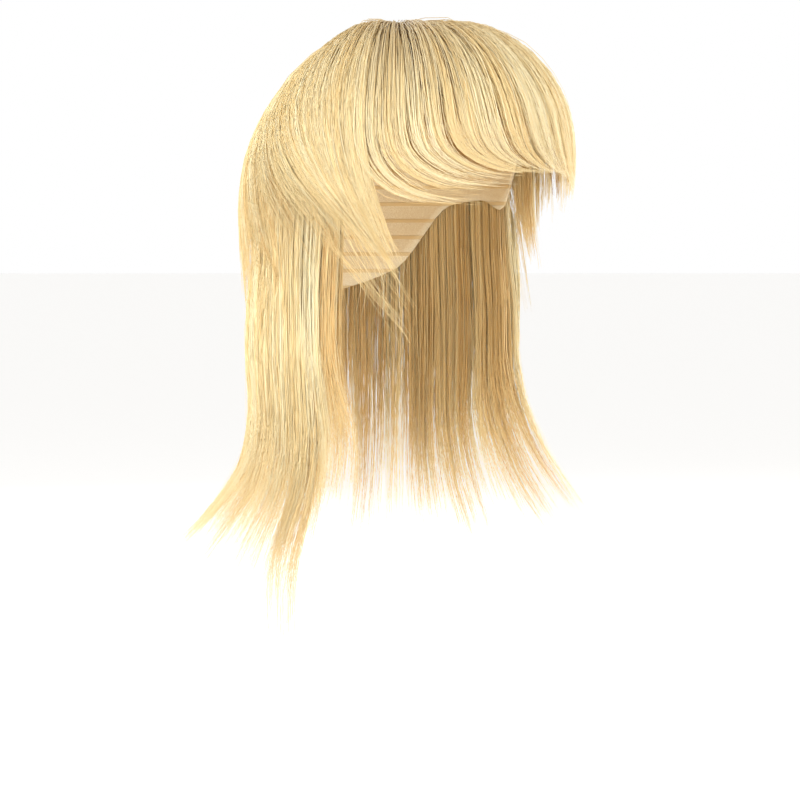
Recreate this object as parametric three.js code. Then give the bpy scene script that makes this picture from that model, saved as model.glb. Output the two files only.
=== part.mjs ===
import * as THREE from 'three';

// Sizes in mm. The origin is inside the crown of the cap, under the whorl.
// Up is +Z and the face looks towards -Y, so the wearer's right side is at -X.
const headWidth = 152; // across the head, above the ears
const headFront = 107; // from under the whorl to the forehead
const headBack = 83; // from under the whorl to the back of the head
const crownHeight = 105; // from the crown down to the widest level
const napeTuck = 30; // how the cap draws in to the neck below the widest level
const capWall = 1.5;
const layerGap = 0.8; // left free between two layers and over the cap
const hairDepth = 20; // hair over the scalp, as a measure for the tables
const underDepth = 8; // the long layer where it lies under the short one
const tipThickness = 2.6;
const whorlRadius = 2.5;
const shortLength = 150; // from the crown down to the tips at the sides
const fringeLength = 94; // from the crown down to the low ends of the fringe
const templeLength = 143;
const longLength = 322; // from the crown down to the main tips
const trailingLength = 380; // the longest lock, at the right shoulder
const rightFrontTurn = -63; // where the long layer begins beside the face, in degrees
const leftFrontTurn = 80;
const fringeRightTurn = -50;
const fringeLeftTurn = 62;
const rightTempleTurn = -60; // the temple locks start here, behind the face
const leftTempleTurn = 71;
const templeWidth = 13; // of a temple lock, in degrees
const rightTempleSweep = 17; // how far it turns to the face
const leftTempleSweep = 7;
const backTurn = 130; // where the side sections meet the back ones
const lockRelief = 2.4; // depth of the grooves between locks

// The scalp from the whorl down: out is a share of the head's half size, drop one
// of crownHeight. depth is the height of the hair over it, a share of hairDepth.
const frontProfile = [
  { along: 0.0, out: 0.0, drop: 0.0, depth: 0.8 },
  { along: 0.12, out: 0.23, drop: 0.005, depth: 0.92 },
  { along: 0.27, out: 0.5, drop: 0.045, depth: 1.08 },
  { along: 0.4, out: 0.7, drop: 0.14, depth: 1.15 },
  { along: 0.51, out: 0.84, drop: 0.27, depth: 1.2 },
  { along: 0.6, out: 0.925, drop: 0.39, depth: 1.2 },
  { along: 0.68, out: 0.97, drop: 0.51, depth: 1.18 },
  { along: 0.76, out: 0.99, drop: 0.64, depth: 1.14 },
  { along: 0.85, out: 1.0, drop: 0.79, depth: 1.08 },
  { along: 0.93, out: 1.0, drop: 1.04, depth: 1.0 },
  { along: 1.0, out: 1.0, drop: 1.5, depth: 0.92 },
];
const backProfile = [
  { along: 0.0, out: 0.0, drop: 0.0, depth: 0.8 },
  { along: 0.1, out: 0.16, drop: 0.01, depth: 0.78 },
  { along: 0.22, out: 0.34, drop: 0.055, depth: 0.75 },
  { along: 0.38, out: 0.585, drop: 0.2, depth: 0.88 },
  { along: 0.52, out: 0.77, drop: 0.39, depth: 0.98 },
  { along: 0.64, out: 0.89, drop: 0.57, depth: 1.06 },
  { along: 0.75, out: 0.965, drop: 0.76, depth: 1.1 },
  { along: 0.87, out: 1.0, drop: 1.0, depth: 1.1 },
  { along: 1.0, out: 1.0, drop: 1.5, depth: 0.98 },
];

// The cap's edge, from the hairline over the ear to the nape: a share of crownHeight.
const capEdge = [
  { turn: 0, drop: 0.48 },
  { turn: 35, drop: 0.5 },
  { turn: 60, drop: 0.6 },
  { turn: 78, drop: 0.98 },
  { turn: 92, drop: 0.92 },
  { turn: 112, drop: 0.95 },
  { turn: 140, drop: 1.35 },
  { turn: 180, drop: 1.52 },
];

// Ends and sideways sweep of the fringe, by the turn at which a strand starts. A
// positive sweep goes to the wearer's left. reach is a share of fringeLength.
const fringeEnds = [
  { turn: -50, reach: 1.07, sweep: 28 },
  { turn: -36, reach: 0.93, sweep: 27 },
  { turn: -16, reach: 0.85, sweep: 20 },
  { turn: 0, reach: 0.86, sweep: 14 },
  { turn: 22, reach: 0.95, sweep: 8 },
  { turn: 44, reach: 1.01, sweep: 2 },
  { turn: 62, reach: 1.04, sweep: -6 },
];

// The same for the short layer at the sides and the back: reach is a share of
// shortLength and sweep goes forward, to the face.
const shortEndsRight = [
  { turn: 45, reach: 0.95, sweep: 8 },
  { turn: 62, reach: 1.0, sweep: 14 },
  { turn: 83, reach: 1.02, sweep: 20 },
  { turn: 110, reach: 1.03, sweep: 12 },
  { turn: 135, reach: 1.06, sweep: 4 },
  { turn: 180, reach: 1.1, sweep: 0 },
];
const shortEndsLeft = [
  { turn: 45, reach: 0.7, sweep: 0 },
  { turn: 62, reach: 0.71, sweep: 0 },
  { turn: 73, reach: 0.82, sweep: 3 },
  { turn: 88, reach: 0.98, sweep: 7 },
  { turn: 110, reach: 1.03, sweep: 7 },
  { turn: 135, reach: 1.06, sweep: 3 },
  { turn: 180, reach: 1.1, sweep: 0 },
];

// The long layer by its drop, a share of longLength: how far its outside stands off
// the head's widest outline and how thick it is, as shares of hairDepth.
const longProfile = [
  { drop: 0.2, lift: 0.2, thick: 0.09 },
  { drop: 0.26, lift: 0.4, thick: 0.3 },
  { drop: 0.34, lift: 0.47, thick: 0.36 },
  { drop: 0.42, lift: 0.58, thick: 0.42 },
  { drop: 0.5, lift: 0.8, thick: 0.5 },
  { drop: 0.6, lift: 0.86, thick: 0.55 },
  { drop: 0.7, lift: 0.76, thick: 0.5 },
  { drop: 0.8, lift: 0.68, thick: 0.4 },
  { drop: 0.9, lift: 0.66, thick: 0.26 },
  { drop: 1.0, lift: 0.66, thick: 0.14 },
  { drop: 1.25, lift: 0.66, thick: 0.12 },
];

// How the tips of the long layer flick away from the neck: start is a share of
// longLength and amount one of headWidth. Right is the side with the far flick.
const flickRight = [
  { turn: 60, start: 0.76, amount: 0.12 },
  { turn: 90, start: 0.78, amount: 0.2 },
  { turn: 125, start: 0.75, amount: 0.36 },
  { turn: 155, start: 0.8, amount: 0.2 },
  { turn: 180, start: 0.8, amount: 0.16 },
];
const flickLeft = [
  { turn: 80, start: 0.62, amount: 0.46 },
  { turn: 100, start: 0.69, amount: 0.34 },
  { turn: 125, start: 0.75, amount: 0.24 },
  { turn: 155, start: 0.79, amount: 0.18 },
  { turn: 180, start: 0.8, amount: 0.16 },
];

// Tips of the long layer lock by lock, in the order of their turns: shares of
// longLength.
const rightLocks = [0.95, 0.97, 1.0, 1.03, trailingLength / longLength, 0.9];
const leftLocks = [0.95, 0.98, 0.92, 1.0, 0.97];
const backLocks = [0.97, 1.0, 0.95, 1.02, 0.98, 1.0, 0.96, 0.99];

// Value of a column at a place in a table, on a smooth curve through its rows.
function readTable(table, column, key, at) {
  const last = table.length - 1;
  const x = Math.min(Math.max(at, table[0][key]), table[last][key]);
  let i = 0;
  while (i < last - 1 && x > table[i + 1][key]) i += 1;
  const slope = (a, b) => (table[b][column] - table[a][column]) / (table[b][key] - table[a][key]);
  const width = table[i + 1][key] - table[i][key];
  const here = slope(i, i + 1);
  const bend = (side, other) => (side * other <= 0 ? 0 : (2 * side * other) / (side + other));
  const start = i > 0 ? bend(slope(i - 1, i), here) : here;
  const end = i < last - 1 ? bend(here, slope(i + 1, i + 2)) : here;
  const t = (x - table[i][key]) / width;
  const a = table[i][column];
  const b = table[i + 1][column];
  return a + t * (width * start + t * (3 * (b - a) - width * (2 * start + end)
    + t * (2 * (a - b) + width * (start + end))));
}

const radians = (degrees) => (degrees * Math.PI) / 180;
const mix = (a, b, share) => a + (b - a) * share;
function ease(from, to, x) {
  const t = Math.min(Math.max((x - from) / (to - from), 0), 1);
  return t * t * (3 - 2 * t);
}
// A turn as 0 at the face to 180 at the back, on either side.
function sideTurn(turn) {
  return Math.abs(((turn % 360) + 540) % 360 - 180);
}

// Egg-shaped section of the head: its radius from the whorl's axis.
function headRadius(turn) {
  const c = Math.cos(radians(turn));
  const ends = c > 0 ? headFront : headBack;
  const power = mix(2.05, 2.3, ease(-0.3, 0.6, c));
  const across = Math.abs(Math.sin(radians(turn))) / (headWidth / 2);
  return (Math.abs(c / ends) ** power + across ** power) ** (-1 / power);
}

// A place over the scalp: its radius and height in the upright plane of that turn.
function scalp(turn, along) {
  const weight = ease(-0.64, 0.64, Math.cos(radians(turn)));
  const read = (column, at) => mix(
    readTable(backProfile, column, 'along', at),
    readTable(frontProfile, column, 'along', at),
    weight,
  );
  const radius = headRadius(turn);
  const place = (at) => [whorlRadius + read('out', at) * (radius - whorlRadius),
    -read('drop', at) * crownHeight];
  const [r, z] = place(along);
  const [r1, z1] = place(Math.max(along - 0.02, 0));
  const [r2, z2] = place(Math.min(along + 0.02, 1));
  const size = Math.hypot(r2 - r1, z2 - z1);
  return {
    r, z, depth: read('depth', along) * hairDepth, outR: -(z2 - z1) / size, outZ: (r2 - r1) / size,
  };
}
function over(turn, along, lift) {
  const s = scalp(turn, along);
  return { turn, r: s.r + s.outR * lift, z: s.z + s.outZ * lift };
}
// How far along its way down the scalp reaches a height.
function alongAt(turn, z) {
  let [low, high] = [0.15, 1];
  for (let i = 0; i < 24; i += 1) {
    const middle = (low + high) / 2;
    if (scalp(turn, middle).z > z) low = middle;
    else high = middle;
  }
  return low;
}

// Closed shell from a grid: surface(column, row, side) gives a place, side 0 outside
// and 1 inside. A dome joins its last column to its first and its first row is a point.
function shell(name, columns, rows, surface, dome = false) {
  const places = [];
  const across = dome ? columns : columns + 1;
  const add = ({ turn, r, z }) => {
    places.push(r * Math.sin(radians(turn)), -r * Math.cos(radians(turn)), z);
  };
  for (const side of [0, 1]) {
    if (dome) add(surface(0, 0, side));
    for (let j = dome ? 1 : 0; j <= rows; j += 1) {
      for (let i = 0; i < across; i += 1) add(surface(i, j, side));
    }
  }
  const perSide = places.length / 6;
  const at = (i, j, side) => {
    if (dome) return side * perSide + (j === 0 ? 0 : 1 + (j - 1) * across + (i % across));
    return side * perSide + j * across + i;
  };
  const faces = [];
  const face = (a, b, c) => {
    if (a !== b && b !== c && c !== a) faces.push(a, b, c);
  };
  const quad = (a, b, c, d) => {
    face(a, b, c);
    face(a, c, d);
  };
  for (let i = 0; i < columns; i += 1) {
    for (let j = 0; j < rows; j += 1) {
      quad(at(i, j, 0), at(i, j + 1, 0), at(i + 1, j + 1, 0), at(i + 1, j, 0));
      quad(at(i, j, 1), at(i + 1, j, 1), at(i + 1, j + 1, 1), at(i, j + 1, 1));
    }
    quad(at(i, rows, 0), at(i, rows, 1), at(i + 1, rows, 1), at(i + 1, rows, 0));
    if (!dome) quad(at(i, 0, 0), at(i + 1, 0, 0), at(i + 1, 0, 1), at(i, 0, 1));
  }
  for (let j = 0; j < rows && !dome; j += 1) {
    quad(at(0, j, 0), at(0, j, 1), at(0, j + 1, 1), at(0, j + 1, 0));
    quad(at(columns, j, 0), at(columns, j + 1, 0), at(columns, j + 1, 1), at(columns, j, 1));
  }
  const geometry = new THREE.BufferGeometry();
  geometry.setAttribute('position', new THREE.Float32BufferAttribute(places, 3));
  geometry.setIndex(faces);
  geometry.computeVertexNormals();
  const mesh = new THREE.Mesh(geometry);
  mesh.name = name;
  return mesh;
}

// A section of hair in locks of three columns each: the outer two stand up and the
// one between two locks is a groove, where the tips are cut back to a notch.
const perLock = 3;
function hairSection(name, { from, to, locks, rows, notch, strand }) {
  const columns = locks * perLock;
  return shell(name, columns, rows, (i, j, side) => {
    const groove = i % perLock === 0 ? 1 : 0;
    const lock = Math.min(Math.floor(i / perLock), locks - 1);
    const share = (j / rows) * (1 - notch * groove);
    const place = strand(mix(from, to, i / columns), share, side, groove, lock);
    const clear = (layerGap / 2 / place.r) * (180 / Math.PI);
    const inset = i === 0 ? clear : i === columns ? -clear : 0;
    return { ...place, turn: place.turn + inset };
  });
}

// Lift of the short layer's inside: close over the cap at first, then over the long
// layer, and near its tips as thin as they are.
function shortInside(s, along, share, thickness) {
  const base = capWall + layerGap;
  const raised = base + (underDepth + layerGap) * ease(0.48, 0.66, along);
  return mix(raised, Math.max(s.depth - thickness, raised), ease(0.62, 0.98, share));
}

function fringeStrand(root, share, side, groove) {
  const reach = readTable(fringeEnds, 'reach', 'turn', root) * fringeLength;
  const sweep = readTable(fringeEnds, 'sweep', 'turn', root);
  const turn = root + sweep * (Math.max(share - 0.5, 0) / 0.5) ** 2.2;
  const along = (1 - (1 - share) ** 1.45) * alongAt(turn, -reach);
  const s = scalp(turn, along);
  if (side === 1) return over(turn, along, shortInside(s, along, share, tipThickness * 1.6));
  return over(turn, along, s.depth - lockRelief * groove * ease(0.1, 0.8, share));
}

function shortStrand(root, share, side, groove) {
  const from = sideTurn(root);
  const right = root < 0 || root > 180;
  const ends = right ? shortEndsRight : shortEndsLeft;
  const reach = readTable(ends, 'reach', 'turn', from) * shortLength;
  const sweep = readTable(ends, 'sweep', 'turn', from);
  const forward = right ? 1 : -1;
  const along = share * alongAt(root, -reach);
  const swept = ease(1.1 * fringeLength, 1.2 * shortLength, -scalp(root, along).z);
  const turn = root + forward * sweep * swept * 2;
  const s = scalp(turn, along);
  if (side === 1) return over(turn, along, shortInside(s, along, share, tipThickness));
  return over(turn, along, s.depth - lockRelief * groove * ease(0.1, 0.8, share));
}

// The long layer hangs from under the short one, first over the cap and then free.
function longStrand(lengths) {
  return (root, share, side, groove, lock) => {
    const flicks = root > 0 && root < 180 ? flickLeft : flickRight;
    const top = longProfile[0].drop * longLength;
    const low = lengths[lock] * longLength;
    const neighbour = lengths[Math.max(lock - 1, 0)] * longLength;
    const tip = groove ? Math.min(low, neighbour, longLength) : low;
    const drop = mix(top, tip, share);
    const at = drop / longLength;
    const from = sideTurn(root);
    const start = readTable(flicks, 'start', 'turn', from);
    const amount = readTable(flicks, 'amount', 'turn', from) * headWidth;
    const flick = amount * (Math.max(Math.min(at, 1) - start, 0) / (1 - start)) ** 1.8;
    const lift = readTable(longProfile, 'lift', 'drop', at) * hairDepth;
    const thick = readTable(longProfile, 'thick', 'drop', at) * hairDepth;
    const relief = lockRelief * groove * ease(0.45, 0.8, share) * 0.6;
    const height = lift - (side === 1 ? thick : relief);
    const z = -drop;
    if (z > -crownHeight) return over(root, alongAt(root, z), height);
    return { turn: root, r: headRadius(root) + height + flick, z };
  };
}

function templeStrand(sweep) {
  return (root, share, face, groove) => {
    const top = 0.52 * crownHeight;
    const drop = mix(top, templeLength, share);
    const turn = root + sweep * ease(0.45, 1.1, share);
    const along = alongAt(turn, -Math.min(drop, crownHeight));
    const inside = capWall + layerGap + 3 * share;
    const thick = mix(1.2, 5, ease(0, 0.3, share)) * (1 - 0.6 * share);
    const lift = inside + (face === 1 ? 0 : thick - 0.5 * groove * share);
    const place = over(turn, along, lift);
    return drop > crownHeight ? { ...place, z: place.z - (drop - crownHeight) } : place;
  };
}

function cap() {
  const columns = 40;
  const rows = 10;
  const surface = (i, j, side) => {
    const turn = (360 * i) / columns;
    const edge = readTable(capEdge, 'drop', 'turn', sideTurn(turn)) * crownHeight;
    const along = (j / rows) * alongAt(turn, -edge);
    const place = over(turn, along, side === 0 ? capWall : 0);
    const tuck = napeTuck * Math.max(-place.z / crownHeight - 1, 0) ** 1.5;
    return { ...place, r: j === 0 ? 0 : place.r - tuck };
  };
  return shell('cap', columns, rows, surface, true);
}

const hair = new THREE.MeshStandardMaterial({ color: '#e6c583', roughness: 0.42, metalness: 0 });
const net = new THREE.MeshStandardMaterial({ color: '#c8ab7c', roughness: 0.85, metalness: 0 });
hair.name = 'blonde_fibre';
net.name = 'cap_net';

const group = new THREE.Group();
group.name = 'wig';
function add(mesh, material) {
  mesh.material = material;
  group.add(mesh);
}

add(cap(), net);
add(hairSection('fringe', {
  from: fringeRightTurn, to: fringeLeftTurn, locks: 10, rows: 13, notch: 0.07, strand: fringeStrand,
}), hair);
add(hairSection('crown_layer_right', {
  from: -backTurn, to: fringeRightTurn, locks: 6, rows: 12, notch: 0.08, strand: shortStrand,
}), hair);
add(hairSection('crown_layer_left', {
  from: fringeLeftTurn, to: backTurn, locks: 6, rows: 12, notch: 0.08, strand: shortStrand,
}), hair);
add(hairSection('crown_layer_back', {
  from: backTurn, to: 360 - backTurn, locks: 7, rows: 12, notch: 0.08, strand: shortStrand,
}), hair);
add(hairSection('long_layer_right', {
  from: -backTurn, to: rightFrontTurn, locks: 6, rows: 15, notch: 0.11,
  strand: longStrand(rightLocks),
}), hair);
add(hairSection('long_layer_left', {
  from: leftFrontTurn, to: backTurn, locks: 5, rows: 15, notch: 0.11,
  strand: longStrand(leftLocks),
}), hair);
add(hairSection('long_layer_back', {
  from: backTurn, to: 360 - backTurn, locks: 8, rows: 15, notch: 0.11,
  strand: longStrand(backLocks),
}), hair);
add(hairSection('temple_lock_right', {
  from: rightTempleTurn, to: rightTempleTurn + templeWidth, locks: 2, rows: 9, notch: 0.12,
  strand: templeStrand(rightTempleSweep),
}), hair);
add(hairSection('temple_lock_left', {
  from: leftTempleTurn - templeWidth, to: leftTempleTurn, locks: 2, rows: 9, notch: 0.12,
  strand: templeStrand(-leftTempleSweep),
}), hair);

export default group;
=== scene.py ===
import math

import bmesh
import bpy
import numpy as np
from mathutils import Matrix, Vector


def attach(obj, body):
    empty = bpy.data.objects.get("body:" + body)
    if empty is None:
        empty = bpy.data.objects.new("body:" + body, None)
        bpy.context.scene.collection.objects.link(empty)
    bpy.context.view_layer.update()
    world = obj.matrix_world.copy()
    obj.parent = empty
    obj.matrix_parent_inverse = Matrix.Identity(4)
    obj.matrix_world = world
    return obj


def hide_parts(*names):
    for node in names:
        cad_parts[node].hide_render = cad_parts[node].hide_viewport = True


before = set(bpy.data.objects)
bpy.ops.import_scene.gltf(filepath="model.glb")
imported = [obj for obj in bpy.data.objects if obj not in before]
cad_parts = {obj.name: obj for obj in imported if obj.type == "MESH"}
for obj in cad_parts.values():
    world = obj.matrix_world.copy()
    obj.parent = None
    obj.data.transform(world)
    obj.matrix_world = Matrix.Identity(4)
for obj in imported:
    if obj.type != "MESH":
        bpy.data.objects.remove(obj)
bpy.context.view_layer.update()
mm = 0.001
print("frame loaded")

# Sizes in mm, as in the part: the whorl is over the origin and the face looks to -Y.
head = {
    "width": 152,
    "front": 107,
    "back": 83,
    "crownHeight": 105,
    "capWall": 1.5,
    "napeTuck": 30,
    "whorlRadius": 2.5,
    "layerGap": 0.8,
    "hairDepth": 20,
    "underDepth": 8,
}

# The scalp from the whorl down, as shares of the half sizes and of the crown's
# height, and the height of the hair over it as a share of its depth.
frontProfile = {
    "along": [0.0, 0.12, 0.27, 0.4, 0.51, 0.6, 0.68, 0.76, 0.85, 0.93, 1.0],
    "out": [0.0, 0.23, 0.5, 0.7, 0.84, 0.925, 0.97, 0.99, 1.0, 1.0, 1.0],
    "drop": [0.0, 0.005, 0.045, 0.14, 0.27, 0.39, 0.51, 0.64, 0.79, 1.04, 1.5],
    "depth": [0.8, 0.92, 1.08, 1.15, 1.2, 1.2, 1.18, 1.14, 1.08, 1.0, 0.92],
}
backProfile = {
    "along": [0.0, 0.1, 0.22, 0.38, 0.52, 0.64, 0.75, 0.87, 1.0],
    "out": [0.0, 0.16, 0.34, 0.585, 0.77, 0.89, 0.965, 1.0, 1.0],
    "drop": [0.0, 0.01, 0.055, 0.2, 0.39, 0.57, 0.76, 1.0, 1.5],
    "depth": [0.8, 0.78, 0.75, 0.88, 0.98, 1.06, 1.1, 1.1, 0.98],
}
capEdge = {
    "turn": [0, 35, 60, 78, 92, 112, 140, 180],
    "drop": [0.48, 0.5, 0.6, 0.98, 0.92, 0.95, 1.35, 1.52],
}
# Ends of the short strands by the turn at which they start: reach is a share of the
# layer's length, sweep is in degrees, and bend and curl say how late they turn.
fringeEnds = {
    "turn": [-50, -36, -16, 0, 22, 44, 62],
    "reach": [1.07, 0.93, 0.85, 0.86, 0.95, 1.01, 1.04],
    "sweep": [28, 27, 20, 14, 8, 2, -6],
    "bend": [1.9, 1.9, 1.8, 1.6, 1.4, 1.25, 1.2],
}
shortEndsRight = {
    "turn": [45, 62, 83, 110, 135, 180],
    "reach": [0.95, 1.0, 1.02, 1.03, 1.06, 1.1],
    "sweep": [8, 14, 20, 12, 4, 0],
}
shortEndsLeft = {
    "turn": [45, 62, 73, 88, 110, 135, 180],
    "reach": [0.7, 0.71, 0.82, 0.98, 1.03, 1.06, 1.1],
    "sweep": [0, 0, 3, 7, 7, 3, 0],
}
# The long layer by its drop: how far its outside stands off and how thick it is.
longProfile = {
    "drop": [0.2, 0.26, 0.34, 0.42, 0.5, 0.6, 0.7, 0.8, 0.9, 1.0, 1.25],
    "lift": [0.2, 0.4, 0.47, 0.58, 0.8, 0.86, 0.76, 0.68, 0.66, 0.66, 0.66],
    "thick": [0.09, 0.3, 0.36, 0.42, 0.5, 0.55, 0.5, 0.4, 0.26, 0.14, 0.12],
}
# The outer strands of the short layer are swept to the face from far back.
sweptRight = {
    "turn": [50, 62, 75, 88, 100, 112, 122, 133],
    "reach": [0.95, 0.96, 0.96, 0.94, 0.91, 0.88, 0.9, 0.98],
    "sweep": [14, 24, 35, 46, 50, 42, 24, 6],
    "curl": [2.6, 2.2, 1.8, 1.6, 1.5, 1.5, 1.6, 1.7],
}
sweptLeft = {
    "turn": [62, 75, 88, 100, 114, 133],
    "reach": [0.7, 0.82, 0.94, 0.96, 0.94, 0.96],
    "sweep": [0, 5, 15, 24, 22, 5],
}
# The long layer comes out under the short one at this drop below the whorl, in mm.
hemRight = {
    "turn": [60, 75, 85, 95, 110, 130, 155, 180],
    "drop": [145, 130, 114, 92, 68, 56, 75, 88],
}
hemLeft = {
    "turn": [70, 85, 95, 110, 130, 155, 180],
    "drop": [140, 128, 112, 88, 64, 75, 88],
}
# Tips of the long layer that flick away from the neck, as shares of its length and
# of the head's width.
flickRight = {
    "turn": [60, 90, 125, 155, 180],
    "start": [0.76, 0.78, 0.75, 0.8, 0.8],
    "amount": [0.12, 0.2, 0.36, 0.2, 0.16],
}
flickLeft = {
    "turn": [80, 100, 125, 155, 180],
    "start": [0.6, 0.68, 0.75, 0.79, 0.8],
    "amount": [0.5, 0.36, 0.24, 0.18, 0.16],
}
frontEdges = [{"turn": -63, "width": 7, "flare": 9}, {"turn": 80, "width": 6, "flare": -4}]
lengths = {"short": 150, "fringe": 94, "temple": 143, "long": 322, "trailing": 380}
# Where along itself a strand begins to turn and how sharply, as shares, and in mm how
# far a bridging strand starts under the short layer and how the whorl closes.
combing = {
    "fringeTurnsFrom": 0.45,
    "fringeTurnPower": 2.8,
    "sideTurnsFrom": 0.12,
    "sideLongest": 1.04,
    "longFrom": 0.21,
    "templeFrom": 0.52,
    "bridgeUnder": 28,
    "bridgeFade": 70,
    "flickPower": 1.8,
    "whorlClosing": 1.8,
}


def mix(a, b, share):
    return a + (b - a) * share


def ease(low, high, x):
    t = np.clip((x - low) / (high - low), 0, 1)
    return t * t * (3 - 2 * t)


def readTable(table, column, key, at):
    # a smooth curve through the rows that never overshoots them
    x, y = np.array(table[key], float), np.array(table[column], float)
    slope = np.diff(y) / np.diff(x)
    before, after = slope[:-1], slope[1:]
    turned = before * after <= 0
    middle = np.where(turned, 0, 2 * before * after / np.where(turned, 1, before + after))
    tangent = np.concatenate([slope[:1], middle, slope[-1:]])
    at = np.clip(at, x[0], x[-1])
    i = np.clip(np.searchsorted(x, at, side="right") - 1, 0, len(x) - 2)
    width = x[i + 1] - x[i]
    t = (at - x[i]) / width
    a, b, start, end = y[i], y[i + 1], tangent[i], tangent[i + 1]
    curve = 3 * (b - a) - width * (2 * start + end) + t * (2 * (a - b) + width * (start + end))
    return a + t * (width * start + t * curve)


def sideTurn(turn):
    return np.abs((turn + 180) % 360 - 180)


def headRadius(turn):
    c = np.cos(np.radians(turn))
    ends = np.where(c > 0, head["front"], head["back"])
    power = mix(2.05, 2.3, ease(-0.3, 0.6, c))
    across = np.abs(np.sin(np.radians(turn))) / (head["width"] / 2)
    return (np.abs(c / ends) ** power + across**power) ** (-1 / power)


def scalpPlace(turn, along):
    weight = ease(-0.64, 0.64, np.cos(np.radians(turn)))
    out = mix(
        readTable(backProfile, "out", "along", along),
        readTable(frontProfile, "out", "along", along),
        weight,
    )
    drop = mix(
        readTable(backProfile, "drop", "along", along),
        readTable(frontProfile, "drop", "along", along),
        weight,
    )
    drop = drop + 5 * np.maximum(along - 1, 0)
    whorl = head["whorlRadius"]
    return whorl + out * (headRadius(turn) - whorl), -drop * head["crownHeight"]


def hairHeight(turn, along):
    weight = ease(-0.64, 0.64, np.cos(np.radians(turn)))
    back = readTable(backProfile, "depth", "along", along)
    return mix(back, readTable(frontProfile, "depth", "along", along), weight) * head["hairDepth"]


def over(turn, along, lift):
    # radius and height of a place lifted off the scalp
    r, z = scalpPlace(turn, along)
    r1, z1 = scalpPlace(turn, np.maximum(along - 0.02, 0))
    r2, z2 = scalpPlace(turn, along + 0.02)
    size = np.hypot(r2 - r1, z2 - z1)
    return r - (z2 - z1) / size * lift, z + (r2 - r1) / size * lift


def alongAt(turn, z):
    low, high = np.full(np.shape(turn), 0.15), np.ones(np.shape(turn))
    for _ in range(20):
        middle = (low + high) / 2
        above = scalpPlace(turn, middle)[1] > z
        low, high = np.where(above, middle, low), np.where(above, high, middle)
    return low


# Each flow takes the turn at which a strand starts, how far it has come and its
# level in the layer, 0 inside and 1 outside, and gives turn, radius and height.
def fringeFlow(root, share, level):
    reach = readTable(fringeEnds, "reach", "turn", root) * lengths["fringe"]
    sweep = readTable(fringeEnds, "sweep", "turn", root)
    start = combing["fringeTurnsFrom"]
    come = np.maximum(share - start, 0) / (1 - start)
    turn = root + sweep * come ** combing["fringeTurnPower"]
    bend = readTable(fringeEnds, "bend", "turn", root)
    bent = 1 - np.abs(1 - share) ** bend * np.sign(1 - share)
    along = bent * alongAt(turn, -reach)
    high = hairHeight(turn, along)
    low = shortInside(high, along, share, 5)
    return (turn, *over(turn, along, mix(low, high, level)))


def shortInside(high, along, share, thickness):
    base = head["capWall"] + head["layerGap"]
    raised = base + (head["underDepth"] + head["layerGap"]) * ease(0.48, 0.66, along)
    return mix(raised, np.maximum(high - thickness, raised), ease(0.62, 0.98, share))


def shortFlow(root, share, level):
    right = (root < 0) | (root > 180)
    reach = bySide(shortEndsRight, shortEndsLeft, "reach", root) * lengths["short"]
    sweep = bySide(shortEndsRight, shortEndsLeft, "sweep", root)
    forward = np.where(right, 1, -1)
    along = share * alongAt(root, -reach)
    z = scalpPlace(root, along)[1]
    swept = ease(1.1 * lengths["fringe"], 1.2 * lengths["short"], -z)
    turn = root + forward * sweep * swept * 2
    high = hairHeight(turn, along)
    low = shortInside(high, along, share, 4)
    return (turn, *over(turn, along, mix(low, high, level)))


def bySide(rightTable, leftTable, column, root):
    side = sideTurn(root)
    right = readTable(rightTable, column, "turn", side)
    return np.where((root < 0) | (root > 180), right, readTable(leftTable, column, "turn", side))


def sweptFlow(root, share, level):
    reach = bySide(sweptRight, sweptLeft, "reach", root) * lengths["short"]
    sweep = bySide(sweptRight, sweptLeft, "sweep", root)
    forward = np.where((root < 0) | (root > 180), 1, -1)
    along = share * alongAt(root, -reach)
    come = np.minimum(-scalpPlace(root, along)[1] / reach, combing["sideLongest"])
    curl = readTable(sweptRight, "curl", "turn", sideTurn(root))
    start = combing["sideTurnsFrom"]
    turn = root + forward * sweep * (np.maximum(come - start, 0) / (1 - start)) ** curl
    high = hairHeight(turn, along)
    low = shortInside(high, along, share, 4)
    return (turn, *over(turn, along, mix(low, high, level)))


def hanging(root, drop, level):
    # a place in the long layer, by how far it hangs below the whorl
    at = drop / lengths["long"]
    start = bySide(flickRight, flickLeft, "start", root)
    amount = bySide(flickRight, flickLeft, "amount", root) * head["width"]
    come = np.maximum(np.minimum(at, 1) - start, 0) / (1 - start)
    flick = amount * come ** combing["flickPower"]
    lift = readTable(longProfile, "lift", "drop", at) * head["hairDepth"]
    thick = readTable(longProfile, "thick", "drop", at) * head["hairDepth"]
    return lift - thick * (1 - level), flick


def hungOver(root, drop, height):
    r, z = over(root, alongAt(root, -np.minimum(drop, head["crownHeight"])), height)
    free = drop > head["crownHeight"]
    return np.where(free, headRadius(root) + height, r), np.where(free, -drop, z)


def longFlow(lengthOf):
    def flow(root, share, level):
        drop = mix(combing["longFrom"] * lengths["long"], lengthOf(root), share)
        height, flick = hanging(root, drop, level)
        r, z = hungOver(root, drop, height)
        return flared(root, drop), r + flick, z

    return flow


def flared(root, drop):
    # the front edges spread to the face below the ear and fall back again
    at = drop / lengths["long"]
    at = ease(0.6, 0.8, at) - 0.6 * ease(0.84, 1, at)
    spread = 0
    for edge in frontEdges:
        beyond = np.abs(root - edge["turn"])
        spread = spread + edge["flare"] * np.exp(-beyond / edge["width"])
    return root + spread * at


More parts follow.
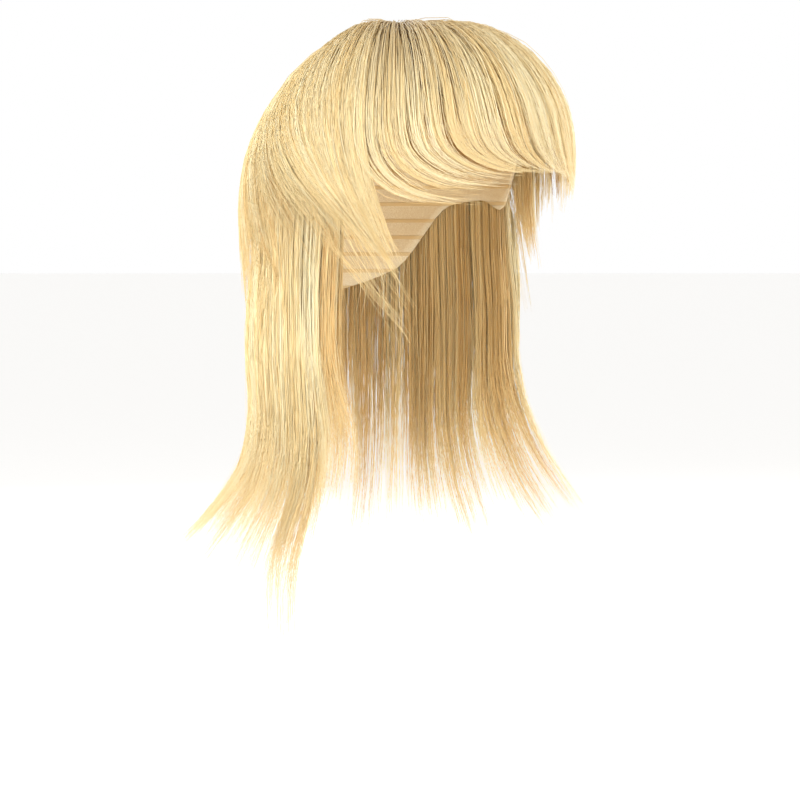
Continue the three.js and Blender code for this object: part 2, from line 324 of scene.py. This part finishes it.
def bridgeFlow(lengthOf):
    # out from under the line where the short layer ends, down onto the long layer
    def flow(root, share, level):
        hem = bySide(hemRight, hemLeft, "drop", root)
        drop = mix(hem - combing["bridgeUnder"], lengthOf(root), share)
        height, flick = hanging(root, drop, level)
        short = hairHeight(root, alongAt(root, -drop))
        surface = mix(short - 6, short + 0.4, level)
        low = 1.1 * hem
        height = mix(surface, height, ease(low, low + combing["bridgeFade"], drop))
        r, z = hungOver(root, drop, height)
        return flared(root, drop), r + flick, z

    return flow


def templeFlow(sweep):
    def flow(root, share, level):
        top = combing["templeFrom"] * head["crownHeight"]
        drop = mix(top, lengths["temple"], share)
        turn = root + sweep * ease(0.45, 1.1, share)
        along = alongAt(turn, -np.minimum(drop, head["crownHeight"]))
        inside = head["capWall"] + head["layerGap"] + 3 * share
        thick = mix(1.2, 5, ease(0, 0.3, share)) * (1 - 0.6 * np.minimum(share, 1))
        r, z = over(turn, along, inside + thick * level)
        return turn, r, z - np.maximum(drop - head["crownHeight"], 0)

    return flow


def lockLength(turns, shares):
    def lengthOf(root):
        edges = np.linspace(turns[0], turns[1], len(shares) + 1)
        lock = np.clip(np.searchsorted(edges, root) - 1, 0, len(shares) - 1)
        return np.array(shares)[lock] * lengths["long"]

    return lengthOf


trailing = lengths["trailing"] / lengths["long"]
trailingTurns = (-86, -73)
trailingLength = lockLength(trailingTurns, [trailing])
rightLength = lockLength((-130, -63), [0.95, 0.97, 1.0, 1.03, 1.05, 0.9])
leftLength = lockLength((80, 130), [0.95, 0.98, 0.92, 1.0, 0.97])
backLength = lockLength((130, 230), [0.97, 1.0, 0.95, 1.02, 0.98, 1.0, 0.96, 0.99])


def toLinear(hexColour):
    parts = [int(hexColour[i : i + 2], 16) / 255 for i in (1, 3, 5)]
    return [p / 12.92 if p <= 0.04045 else ((p + 0.055) / 1.055) ** 2.4 for p in parts] + [1.0]


def addNode(tree, kind, settings=None, inputs=None):
    # an input is a value, or a socket to link from
    node = tree.nodes.new(kind)
    for name, value in (settings or {}).items():
        setattr(node, name, value)
    for name, value in (inputs or {}).items():
        if isinstance(value, bpy.types.NodeSocket):
            tree.links.new(value, node.inputs[name])
        else:
            node.inputs[name].default_value = value
    return node


def newMaterial(name):
    material = bpy.data.materials.new(name)
    material.use_nodes = True
    tree = material.node_tree
    tree.nodes.clear()
    output = addNode(tree, "ShaderNodeOutputMaterial")
    surface = addNode(tree, "ShaderNodeBsdfPrincipled")
    tree.links.new(surface.outputs[0], output.inputs["Surface"])
    return material, tree, surface


def colourRamp(tree, factor, stops):
    node = addNode(tree, "ShaderNodeValToRGB", inputs={"Fac": factor})
    ramp = node.color_ramp
    while len(ramp.elements) < len(stops):
        ramp.elements.new(0.5)
    for element, (place, colour) in zip(ramp.elements, stops):
        element.position = place
        element.color = toLinear(colour)
    return node.outputs["Color"]


# Heat-resistant synthetic fibre, drawn and combed: smooth along each strand, so it
# carries a soft bright band, and every strand is dyed a little differently. Inner strands
# and the tips of strands in gaps are also given darker tones as painted shade, and a
# darker root tone over the top of the head is partly root colour, partly painted shade.
fibreLook = {
    # the dark end of these tones is painted shade, used for inner strands and the gaps between locks
    "shades": [
        (0.0, "#B98B50"),
        (0.2, "#E2B873"),
        (0.42, "#F6D798"),
        (0.65, "#FDE6AE"),
        (1.0, "#FFF3CC"),
    ],
    "root": "#D4B074",
    "roughness": 0.36,
}


def blondeFibre():
    material, tree, surface = newMaterial("heatResistantFibreBlonde")
    shade = addNode(tree, "ShaderNodeAttribute", {"attribute_name": "shade"})
    along = addNode(tree, "ShaderNodeAttribute", {"attribute_name": "rootToTip"})
    tone = colourRamp(tree, shade.outputs["Fac"], fibreLook["shades"])
    # the root tone fades out over the first half of each strand: partly the fibre's darker roots,
    # partly painted shade on the top of the head
    rootToneAndCrownShade = addNode(
        tree,
        "ShaderNodeMapRange",
        {"interpolation_type": "SMOOTHSTEP"},
        {"Value": along.outputs["Fac"], 1: 0.0, 2: 0.55, 3: 0.6, 4: 0.0},
    )
    colour = addNode(
        tree,
        "ShaderNodeMix",
        {"data_type": "RGBA"},
        {0: rootToneAndCrownShade.outputs[0], 6: tone, 7: toLinear(fibreLook["root"])},
    )
    tree.links.new(colour.outputs[2], surface.inputs["Base Color"])
    surface.inputs["Roughness"].default_value = fibreLook["roughness"]
    surface.inputs["IOR"].default_value = 1.5
    return material


fibre = blondeFibre()


def strandTree():
    tree = bpy.data.node_groups.new("hairStrands", "GeometryNodeTree")
    face = tree.interface
    face.new_socket("Guides", in_out="INPUT", socket_type="NodeSocketGeometry")
    sizes = {
        "Strand Radius": 0.0002,
        "Tip Share": 0.3,
        "Frizz": 0.001,
        "Frizz Scale": 14.0,
        "Seed": 1.0,
    }
    for name, value in sizes.items():
        socket = face.new_socket(name, in_out="INPUT", socket_type="NodeSocketFloat")
        socket.default_value = value
    face.new_socket("Fibre", in_out="INPUT", socket_type="NodeSocketMaterial")
    face.new_socket("Strands", in_out="OUTPUT", socket_type="NodeSocketGeometry")
    given = addNode(tree, "NodeGroupInput").outputs
    curves = addNode(tree, "GeometryNodeMeshToCurve", inputs={"Mesh": given["Guides"]})
    # every strand waves a little on its own, more towards its tip
    number = addNode(
        tree, "GeometryNodeInputNamedAttribute", {"data_type": "FLOAT"}, {"Name": "strandNumber"}
    )
    turned = addNode(
        tree,
        "ShaderNodeMath",
        {"operation": "MULTIPLY_ADD"},
        {0: number.outputs["Attribute"], 1: 0.731, 2: given["Seed"]},
    )
    wave = addNode(
        tree,
        "ShaderNodeTexNoise",
        {"noise_dimensions": "4D"},
        {"W": turned.outputs[0], "Scale": given["Frizz Scale"], "Detail": 0.0},
    )
    centred = addNode(
        tree,
        "ShaderNodeVectorMath",
        {"operation": "SUBTRACT"},
        {0: wave.outputs["Color"], 1: (0.5, 0.5, 0.5)},
    )
    place = addNode(
        tree, "GeometryNodeInputNamedAttribute", {"data_type": "FLOAT"}, {"Name": "looseness"}
    )
    size = addNode(
        tree,
        "ShaderNodeMath",
        {"operation": "MULTIPLY"},
        {0: place.outputs["Attribute"], 1: given["Frizz"]},
    )
    shift = addNode(
        tree,
        "ShaderNodeVectorMath",
        {"operation": "SCALE"},
        {0: centred.outputs[0], "Scale": size.outputs[0]},
    )
    moved = addNode(
        tree,
        "GeometryNodeSetPosition",
        inputs={"Geometry": curves.outputs[0], "Offset": shift.outputs[0]},
    )
    factor = addNode(tree, "GeometryNodeSplineParameter")
    taper = addNode(
        tree,
        "ShaderNodeMapRange",
        {"interpolation_type": "SMOOTHSTEP"},
        {"Value": factor.outputs["Factor"], 1: 0.45, 2: 1.0, 3: 1.0, 4: given["Tip Share"]},
    )
    thick = addNode(
        tree,
        "ShaderNodeMath",
        {"operation": "MULTIPLY"},
        {0: taper.outputs[0], 1: given["Strand Radius"]},
    )
    section = addNode(tree, "GeometryNodeCurvePrimitiveCircle", inputs={"Resolution": 3, "Radius": 1.0})
    tubes = addNode(
        tree,
        "GeometryNodeCurveToMesh",
        inputs={
            "Curve": moved.outputs[0],
            "Profile Curve": section.outputs[0],
            "Scale": thick.outputs[0],
            "Fill Caps": True,
        },
    )
    smooth = addNode(tree, "GeometryNodeSetShadeSmooth", inputs={0: tubes.outputs[0]})
    real = addNode(tree, "GeometryNodeRealizeInstances", inputs={0: smooth.outputs[0]})
    done = addNode(
        tree,
        "GeometryNodeSetMaterial",
        inputs={"Geometry": real.outputs[0], "Material": given["Fibre"]},
    )
    addNode(tree, "NodeGroupOutput", inputs={"Strands": done.outputs[0]})
    return tree


strandNodes = strandTree()


def setInputs(modifier, values):
    for item in modifier.node_group.interface.items_tree:
        if item.in_out == "INPUT" and item.name in values:
            modifier[item.identifier] = values[item.name]


def strandMap(mesh, strands, points):
    # each strand unrolls in a cell of its own, with its two end faces above it
    faces = len(mesh.polygons)
    corners = np.empty(len(mesh.loops), int)
    mesh.loops.foreach_get("vertex_index", corners)
    starts, totals = np.empty(faces, int), np.empty(faces, int)
    mesh.polygons.foreach_get("loop_start", starts)
    mesh.polygons.foreach_get("loop_total", totals)
    face = np.repeat(np.arange(faces), totals)
    strand, within = corners // (points * 3), corners % (points * 3)
    ring, side = within // 3, (within % 3).astype(float)
    isCap = totals[face] == 3
    highest = np.maximum.reduceat(side, starts)[face]
    lowest = np.minimum.reduceat(side, starts)[face]
    side = np.where(~isCap & (highest - lowest > 1.5) & (side == 0), 3, side)
    u = side / 3
    v = ring / (points - 1) * 0.9
    atTip = ring > 0
    capU = np.where(side == 1, 0.42, np.where(side == 2, 0.22, 0.02)) + 0.5 * atTip
    capV = np.where(side == 2, 0.99, 0.93)
    u, v = np.where(isCap, capU, u), np.where(isCap, capV, v)
    across = math.ceil(math.sqrt(strands * 3))
    down = math.ceil(strands / across)
    u = (strand % across + 0.06 + 0.88 * u) / across
    v = (strand // across + 0.04 + 0.92 * v) / down
    layer = mesh.uv_layers.new(name="OFBake")
    layer.data.foreach_set("uv", np.stack([u, v], 1).astype(np.float32).ravel())


def strandPiece(name, node, turn, r, z, shade, rootToTip, looseness, look):
    strands, points = r.shape
    angle = np.radians(turn)
    places = np.stack([r * np.sin(angle), -r * np.cos(angle), z], -1).reshape(-1, 3) * mm
    mesh = bpy.data.meshes.new(name + "Guides")
    mesh.vertices.add(strands * points)
    mesh.vertices.foreach_set("co", places.astype(np.float32).ravel())
    first = (np.arange(strands)[:, None] * points + np.arange(points - 1)).ravel()
    mesh.edges.add(len(first))
    mesh.edges.foreach_set("vertices", np.stack([first, first + 1], 1).astype(np.int32).ravel())
    numbers = np.repeat(np.arange(strands), points)
    values = {
        "shade": np.broadcast_to(shade, (strands, points)),
        "rootToTip": np.broadcast_to(rootToTip, (strands, points)),
        "looseness": np.broadcast_to(looseness, (strands, points)),
        "strandNumber": numbers,
    }
    for key, value in values.items():
        attribute = mesh.attributes.new(key, "FLOAT", "POINT")
        attribute.data.foreach_set("value", np.asarray(value, np.float32).ravel())
    guides = bpy.data.objects.new(name + "Guides", mesh)
    bpy.context.scene.collection.objects.link(guides)
    modifier = guides.modifiers.new("strands", "NODES")
    modifier.node_group = strandNodes
    setInputs(modifier, {**look, "Fibre": fibre})
    bpy.context.view_layer.update()
    shaped = guides.evaluated_get(bpy.context.evaluated_depsgraph_get())
    final = bpy.data.meshes.new_from_object(shaped)
    bpy.data.objects.remove(guides)
    final.name = name
    piece = bpy.data.objects.new(name, final)
    bpy.context.scene.collection.objects.link(piece)
    if "strandNumber" in final.attributes:
        final.attributes.remove(final.attributes["strandNumber"])
    strandMap(final, strands, points)
    if node:
        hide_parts(node)
    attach(piece, "root")
    final.calc_loop_triangles()
    print(name, strands, "strands", len(final.loop_triangles), "triangles")
    return piece


def clumps(rng, low, high, width):
    # centres and widths of uneven clumps side by side, in degrees
    count = max(1, round((high - low) / width))
    sizes = rng.uniform(0.55, 1.45, count)
    edges = low + (high - low) * np.concatenate([[0], np.cumsum(sizes) / sizes.sum()])
    return (edges[:-1] + edges[1:]) / 2, np.diff(edges)


# How much locks, wisps and single strands differ in shade, and how many stand proud.
uneven = {"lock": 0.1, "wisp": 0.09, "strand": 0.07, "looseShare": 0.02, "looseLift": 0.12}


def looseLift(rng, count):
    chosen = rng.uniform(0, 1, count) < uneven["looseShare"]
    return np.where(chosen, rng.uniform(0, uneven["looseLift"], count), 0)


def combed(rng, turns, layers, points, rootSpread, flow, fromRoot=0.0):
    # strands in layers of uneven locks, each drawn together towards its tips and
    # split again into fine wisps
    parts = []
    for layer in layers:
        centre, width = clumps(rng, *turns, layer["clump"])
        count = layer["strands"]
        which = rng.choice(len(centre), count, p=width / width.sum())
        wispCount = layer["wisps"]
        wisp = rng.integers(0, wispCount, count)
        wispPlace = rng.uniform(-1, 1, (len(centre), wispCount))[which, wisp]
        inWisp = rng.normal(0, 0.5, count)
        wispKey = (len(centre), wispCount)
        length = 1 - layer["ragged"] * rng.uniform(0, 1, len(centre))[which]
        length = length - layer["ragged"] * rng.uniform(0, 1, wispKey)[which, wisp]
        length = length - layer["thin"] * rng.uniform(0, 1, count) ** layer["thinPower"]
        start = rng.uniform(0, 1, count) ** 1.2 * rootSpread
        shade = layer["shade"] + uneven["lock"] * rng.normal(0, 1, len(centre))[which]
        shade = shade + uneven["wisp"] * rng.normal(0, 1, wispKey)[which, wisp]
        parts.append(
            {
                "centre": centre[which],
                "half": width[which] / 2,
                "place": wispPlace,
                "wispHalf": 1.3 / wispCount,
                "inWisp": np.clip(inWisp, -1.3, 1.3),
                "level": rng.uniform(*layer["level"], count),
                "start": start,
                "end": layer["longest"] * length,
                "gather": layer["gather"] * rng.uniform(0.5, 1.2, len(centre))[which],
                "drift": layer["drift"] * rng.normal(0, 1, wispKey)[which, wisp],
                "buried": layer["buried"],
                "dip": layer["dip"] * rng.uniform(0.5, 1.5, len(centre))[which],
                "shade": shade + rng.normal(0, uneven["strand"], count),
                "deepen": layer["deepen"],
                "open": layer["open"],
                "loose": looseLift(rng, count),
            }
        )
        parts[-1] = {key: np.broadcast_to(value, count) for key, value in parts[-1].items()}
    s = {key: np.concatenate([p[key] for p in parts])[:, None] for key in parts[0]}
    t = np.linspace(0, 1, points)[None, :]
    share = mix(s["start"], s["end"], t)
    drawn = s["gather"] * ease(0.2, 1.0, share)
    split = mix(1.0, s["wispHalf"], s["gather"] * ease(0.2, 1.0, share))
    offset = s["place"] * (1 - s["open"] * drawn) + s["inWisp"] * split
    offset = np.where(np.abs(offset) > 1.2, 1.2 * np.sign(offset), offset)
    root = s["centre"] + offset * s["half"] * (1 - s["open"] * drawn) + s["drift"] * share**2
    level = s["level"] - s["dip"] * offset**2 * ease(0.35, 0.9, share)
    rising = ease(0, 0.22, share - s["start"])
    lowered = np.maximum(ease(0.02, 0.2, s["start"]), s["buried"])
    level = level * mix(mix(0.93, 0.0, lowered), 1, rising) + s["loose"]
    turn, r, z = flow(root, share, level)
    # the whorl closes to a point
    r = r - combing["whorlClosing"] * (1 - ease(0, 0.1, share)) * (1 - s["buried"])
    return {
        "turn": turn,
        "r": r,
        "z": z,
        # some inner strands darken towards their tips: painted shadow in the gaps between locks
        "shade": np.clip(s["shade"] - s["deepen"] * ease(0.45, 0.75, share), 0, 1),
        "rootToTip": mix(fromRoot, 1, share),
        "looseness": ease(0.1, 1, share) * (0.5 + rng.exponential(0.5, s["start"].shape)),
    }


def joined(*groups):
    return {key: np.concatenate([g[key] for g in groups]) for key in groups[0]}


def addHair(name, node, hair, look):
    return strandPiece(
        name,
        node,
        hair["turn"],
        hair["r"],
        hair["z"],
        hair["shade"],
        hair["rootToTip"],
        hair["looseness"],
        look,
    )


def layer(strands, level, clump, **changes):
    settings = {
        "wisps": 6,
        "ragged": 0.04,
        "thin": 0.15,
        "thinPower": 2.5,
        "longest": 1.03,
        "gather": 0.75,
        "open": 0.35,
        "drift": 0.5,
        "dip": 0.08,
        "shade": 0.6,
        "deepen": 0,
        "buried": 0,
    }
    return {"strands": int(strands), "level": level, "clump": clump, **settings, **changes}


fringe = {
    "turns": (-55, 63),
    "points": 10,
    "strands": 3300,
    "look": {"Strand Radius": 0.00021, "Tip Share": 0.25, "Frizz": 0.0018, "Frizz Scale": 14.0},
}
rng = np.random.default_rng(11)
count = fringe["strands"]
parted = {"gather": 0.95, "dip": 0.14, "open": 0.75}
# the inner layer is a darker tone and darkens further towards its tips, painted shade deep in the
# fringe and in the gaps between its locks; outer layers are lighter
layers = [
    layer(count * 0.2, (0.1, 0.45), 8, shade=0.5, deepen=0.5, thin=0.5, ragged=0.1),
    layer(count * 0.5, (0.45, 1.0), 4.5, shade=0.68, thin=0.42, ragged=0.1, **parted),
    layer(count * 0.25, (0.85, 1.0), 4.5, shade=0.74, thin=0.5, ragged=0.1),
    layer(count * 0.05, (0.6, 1.0), 5, shade=0.7, thin=0.1, longest=1.08, drift=3),
]
hair = combed(rng, fringe["turns"], layers, fringe["points"], 0.5, fringeFlow)
addHair("fringeStrands", "fringe", hair, fringe["look"])

crown = {
    "points": 9,
    "look": {"Strand Radius": 0.00021, "Tip Share": 0.3, "Frizz": 0.001, "Frizz Scale": 12.0},
    "right": {"turns": (-133, -50), "strands": 3000, "swept": 0.62},
    "left": {"turns": (61, 133), "strands": 2100, "swept": 0.6},
    "back": {"turns": (125, 235), "strands": 2400, "swept": 0.0},
}
for side in ("right", "left", "back"):
    rng = np.random.default_rng({"right": 21, "left": 22, "back": 23}[side])
    turns, swept = crown[side]["turns"], crown[side]["strands"] * crown[side]["swept"]
    straight = crown[side]["strands"] - swept
    ends = {"ragged": 0.08, "thin": 0.45, "thinPower": 1.4, "longest": 1.08}
    sweptEnds = {"ragged": 0.025, "thin": 0.17, "thinPower": 1.5, "longest": 1.01}
    # the inner layer is a darker tone than the outer ones: painted shade deep in the hair
    layers = [
        layer(straight * 0.5, (0.1, 0.5), 8, shade=0.52, **ends),
        layer(straight * 0.5, (0.45, 0.85 if swept else 1.0), 6, **ends),
    ]
    hair = combed(rng, turns, layers, crown["points"], 0.55, shortFlow)
    if swept:
        layers = [
            layer(swept * 0.5, (0.6, 0.95), 5, shade=0.66, drift=1.5, **sweptEnds),
            layer(swept * 0.5, (0.88, 1.0), 4, shade=0.74, drift=1.5, **sweptEnds),
        ]
        hair = joined(hair, combed(rng, turns, layers, crown["points"], 0.5, sweptFlow))
    if side == "right":
        full = {"thin": 0.1, "ragged": 0.02, "longest": 1.0, "drift": 2}
        layers = [layer(600, (0.5, 1.0), 4, shade=0.7, **full)]
        hair = joined(hair, combed(rng, (-118, -51), layers, crown["points"], 0.5, sweptFlow))
    addHair(f"crown{side.title()}Strands", f"crown_layer_{side}", hair, crown["look"])

long = {
    "points": 8,
    "look": {"Strand Radius": 0.00021, "Tip Share": 0.2, "Frizz": 0.005, "Frizz Scale": 8.0},
    "right": {"turns": (-134, -63), "strands": 2950, "lengthOf": rightLength},
    "left": {"turns": (80, 134), "strands": 1900, "lengthOf": leftLength},
    "back": {"turns": (126, 234), "strands": 2500, "lengthOf": backLength},
}
for side in ("right", "left", "back"):
    rng = np.random.default_rng({"right": 31, "left": 32, "back": 33}[side])
    turns, count = long[side]["turns"], long[side]["strands"]
    loose = {"ragged": 0.07, "thin": 0.42, "thinPower": 1.8, "gather": 0.8, "drift": 2.2, "wisps": 5}
    loose["longest"] = 1.06
    # darker tones inside and lighter outside: painted shade deep in the long layer and on its inside
    layers = [
        layer(count * 0.22, (0.0, 0.45), 9, shade=0.35, **loose),
        layer(count * 0.3, (0.35, 0.85), 7, shade=0.6, **loose),
        layer(count * 0.2, (0.8, 1.0), 6, shade=0.78, **loose),
    ]
    hair = combed(rng, turns, layers, long["points"], 0.0, longFlow(long[side]["lengthOf"]), 0.4)
    bridging = [layer(count * 0.28, (0.8, 1.0), 5, shade=0.75, buried=1, **loose)]
    bridge = bridgeFlow(long[side]["lengthOf"])
    hair = joined(hair, combed(rng, turns, bridging, long["points"], 0.14, bridge, 0.4))
    if side == "right":
        wisps = [layer(260, (0.2, 1.0), 3, **{**loose, "thin": 0.3, "thinPower": 1.2})]
        flow = longFlow(trailingLength)
        hair = joined(hair, combed(rng, trailingTurns, wisps, long["points"], 0.3, flow, 0.4))
    addHair(f"long{side.title()}Strands", f"long_layer_{side}", hair, long["look"])

temple = {
    "points": 9,
    "look": {"Strand Radius": 0.0002, "Tip Share": 0.25, "Frizz": 0.003, "Frizz Scale": 12.0},
    "right": {"turns": (-65, -50), "sweep": 17},
    "left": {"turns": (58, 71), "sweep": -7},
}
for side in ("right", "left"):
    rng = np.random.default_rng({"right": 41, "left": 42}[side])
    turns, flow = temple[side]["turns"], templeFlow(temple[side]["sweep"])
    fan = {"ragged": 0.12, "thin": 0.5, "thinPower": 1.2, "gather": 0.3, "drift": 2.5}
    # the inner layer is a darker tone: painted shade deep in the lock
    layers = [layer(120, (0.0, 0.6), 5, shade=0.45, **fan), layer(110, (0.4, 1.0), 4, **fan)]
    hair = combed(rng, turns, layers, temple["points"], 0.0, flow)
    if side == "right":
        wisps = [layer(18, (0.3, 1.0), 3, thin=0.3, longest=1.38, drift=3)]
        hair = joined(hair, combed(rng, (-66, -58), wisps, temple["points"], 0.3, flow))
    addHair(f"temple{side.title()}Strands", f"temple_lock_{side}", hair, temple["look"])


# Stretch net in pale caramel with a fine knit, and the rows of weft tape that the
# hair is sewn in with.
netLook = {"knit": 0.0008, "rows": 0.011, "net": "#EEDDBB", "holes": "#DCC398", "weft": "#DCBE8B"}


def capNet():
    material, tree, surface = newMaterial("stretchNetCaramel")
    where = addNode(tree, "ShaderNodeTexCoord").outputs["Object"]
    knit = addNode(
        tree,
        "ShaderNodeTexVoronoi",
        {"feature": "DISTANCE_TO_EDGE"},
        {"Vector": where, "Scale": 1 / netLook["knit"]},
    )
    stops = [(0.0, netLook["net"]), (0.25, netLook["holes"])]
    net = colourRamp(tree, knit.outputs["Distance"], stops)
    height = addNode(tree, "ShaderNodeSeparateXYZ", inputs={0: where}).outputs["Z"]
    rows = addNode(
        tree,
        "ShaderNodeMath",
        {"operation": "PINGPONG"},
        {0: height, 1: netLook["rows"] / 2},
    )
    band = addNode(
        tree,
        "ShaderNodeMapRange",
        {"interpolation_type": "SMOOTHSTEP"},
        {"Value": rows.outputs[0], 1: 0.0009, 2: 0.0016, 3: 1.0, 4: 0.0},
    )
    colour = addNode(
        tree,
        "ShaderNodeMix",
        {"data_type": "RGBA"},
        {0: band.outputs[0], 6: net, 7: toLinear(netLook["weft"])},
    )
    tree.links.new(colour.outputs[2], surface.inputs["Base Color"])
    surface.inputs["Roughness"].default_value = 0.85
    raised = addNode(
        tree,
        "ShaderNodeBump",
        inputs={"Strength": 0.6, "Distance": 0.0006, "Height": band.outputs[0]},
    )
    tree.links.new(raised.outputs[0], surface.inputs["Normal"])
    return material


def domeShell(name, columns, rows, surface, material):
    # outside and inside of a thin dome, joined along its edge
    places, faces = [], []
    turnShare, rowShare = np.arange(columns) / columns, np.arange(rows + 1) / rows
    for side in (0, 1):
        u, v = np.meshgrid(turnShare, rowShare)
        turn, r, z = surface(u, v, side)
        angle = np.radians(turn)
        grid = np.stack([r * np.sin(angle), -r * np.cos(angle), z], -1) * mm
        places.append(grid.reshape(-1, 3))
    per = (rows + 1) * columns

    def at(i, j, side):
        return side * per + j * columns + i % columns

    for i in range(columns):
        for j in range(rows):
            faces.append((at(i, j, 0), at(i, j + 1, 0), at(i + 1, j + 1, 0), at(i + 1, j, 0)))
            faces.append((at(i, j, 1), at(i + 1, j, 1), at(i + 1, j + 1, 1), at(i, j + 1, 1)))
        faces.append((at(i, rows, 0), at(i, rows, 1), at(i + 1, rows, 1), at(i + 1, rows, 0)))
    mesh = bpy.data.meshes.new(name)
    mesh.from_pydata(np.concatenate(places).tolist(), [], faces)
    piece = bpy.data.objects.new(name, mesh)
    bpy.context.scene.collection.objects.link(piece)
    weld(mesh)
    mesh.polygons.foreach_set("use_smooth", [True] * len(mesh.polygons))
    mesh.materials.append(material)
    return piece


def weld(mesh):
    work = bmesh.new()
    work.from_mesh(mesh)
    bmesh.ops.remove_doubles(work, verts=work.verts, dist=1e-6)
    work.to_mesh(mesh)
    work.free()


net = capNet()


capGrid = {"columns": 96, "rows": 40}


def capSurface(u, v, side):
    turn = u * 360
    edge = readTable(capEdge, "drop", "turn", sideTurn(turn)) * head["crownHeight"]
    along = v * alongAt(turn, -edge)
    r, z = over(turn, along, head["capWall"] * (1 - side))
    tuck = head["napeTuck"] * np.maximum(-z / head["crownHeight"] - 1, 0) ** 1.5
    return turn, np.where(v == 0, 0, r - tuck), z


cap = domeShell("capNet", capGrid["columns"], capGrid["rows"], capSurface, net)
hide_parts("cap")
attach(cap, "root")
print("cap", len(cap.data.polygons), "faces")

# Plain studio: a pale floor under the hanging tips and large soft lamps.
studio = {
    "floor": "#FAF9F7",
    "floorGlow": 0.3,
    "floorRadius": 40,
    "floorCorners": 64,
    "floorDrop": -0.4,
    "horizon": 1.0,
    "above": 0.6,
}
floorMesh = bpy.data.meshes.new("floor")
corners = studio["floorCorners"]
angles = [2 * math.pi * i / corners for i in range(corners)]
wide = studio["floorRadius"]
ring = [(wide * math.cos(a), wide * math.sin(a), studio["floorDrop"]) for a in angles]
floorMesh.from_pydata(ring, [], [tuple(range(corners))])
floor = bpy.data.objects.new("floor", floorMesh)
bpy.context.scene.collection.objects.link(floor)
floorPaint, tree, surface = newMaterial("mattFloorPaint")
surface.inputs["Base Color"].default_value = toLinear(studio["floor"])
surface.inputs["Emission Color"].default_value = toLinear(studio["floor"])
surface.inputs["Emission Strength"].default_value = studio["floorGlow"]
surface.inputs["Roughness"].default_value = 0.9
floorMesh.materials.append(floorPaint)
print("floor laid")
bpy.context.scene.view_settings.view_transform = "Standard"

world = bpy.data.worlds.new("studio")
bpy.context.scene.world = world
world.use_nodes = True
tree = world.node_tree
sky = tree.nodes["Background"]
sky.inputs["Color"].default_value = toLinear("#FFFFFF")
# bright all round and dimmer overhead, as among tall softboxes
ray = addNode(tree, "ShaderNodeTexCoord").outputs["Generated"]
up = addNode(tree, "ShaderNodeSeparateXYZ", inputs={0: ray}).outputs["Z"]
strength = addNode(
    tree,
    "ShaderNodeMapRange",
    inputs={"Value": up, 1: 0.2, 2: 0.7, 3: studio["horizon"], 4: studio["above"]},
)
tree.links.new(strength.outputs[0], sky.inputs["Strength"])


def lamp(name, turn, distance, height, size, power):
    data = bpy.data.lights.new(name, "AREA")
    data.shape, data.size, data.size_y, data.energy = "RECTANGLE", size, size * 1.3, power
    lightObject = bpy.data.objects.new(name, data)
    bpy.context.scene.collection.objects.link(lightObject)
    a = math.radians(turn)
    lightObject.location = (distance * math.sin(a), -distance * math.cos(a), height)
    aim = Vector((0, 0, -0.12)) - lightObject.location
    lightObject.rotation_euler = aim.to_track_quat("-Z", "Y").to_euler()


lamp("keyLamp", -75, 1.7, 0.35, 0.8, 17)
lamp("fillLamp", 5, 1.8, 0.3, 1.0, 12)
lamp("sideLamp", 80, 1.8, 0.3, 0.9, 9)
lamp("backLamp", 170, 1.8, 0.5, 0.9, 7)

# The camera stands at the photograph's angle, far away, so that lines stay parallel.
view = {"azimuth": -40, "elevation": 2, "distance": 2.87, "lens": 200, "centre": (3.2, -226)}
a, e = math.radians(view["azimuth"]), math.radians(view["elevation"])
back = Vector((math.sin(a) * math.cos(e), -math.cos(a) * math.cos(e), math.sin(e)))
right = Vector((math.cos(a), math.sin(a), 0))
aim = right * view["centre"][0] * mm + Vector((0, 0, view["centre"][1] * mm))
cameraData = bpy.data.cameras.new("camera")
cameraData.lens = view["lens"]
camera = bpy.data.objects.new("camera", cameraData)
bpy.context.scene.collection.objects.link(camera)
camera.location = aim + back * view["distance"]
camera.rotation_euler = (-back).to_track_quat("-Z", "Y").to_euler()
bpy.context.scene.camera = camera

print("lamps and camera set")
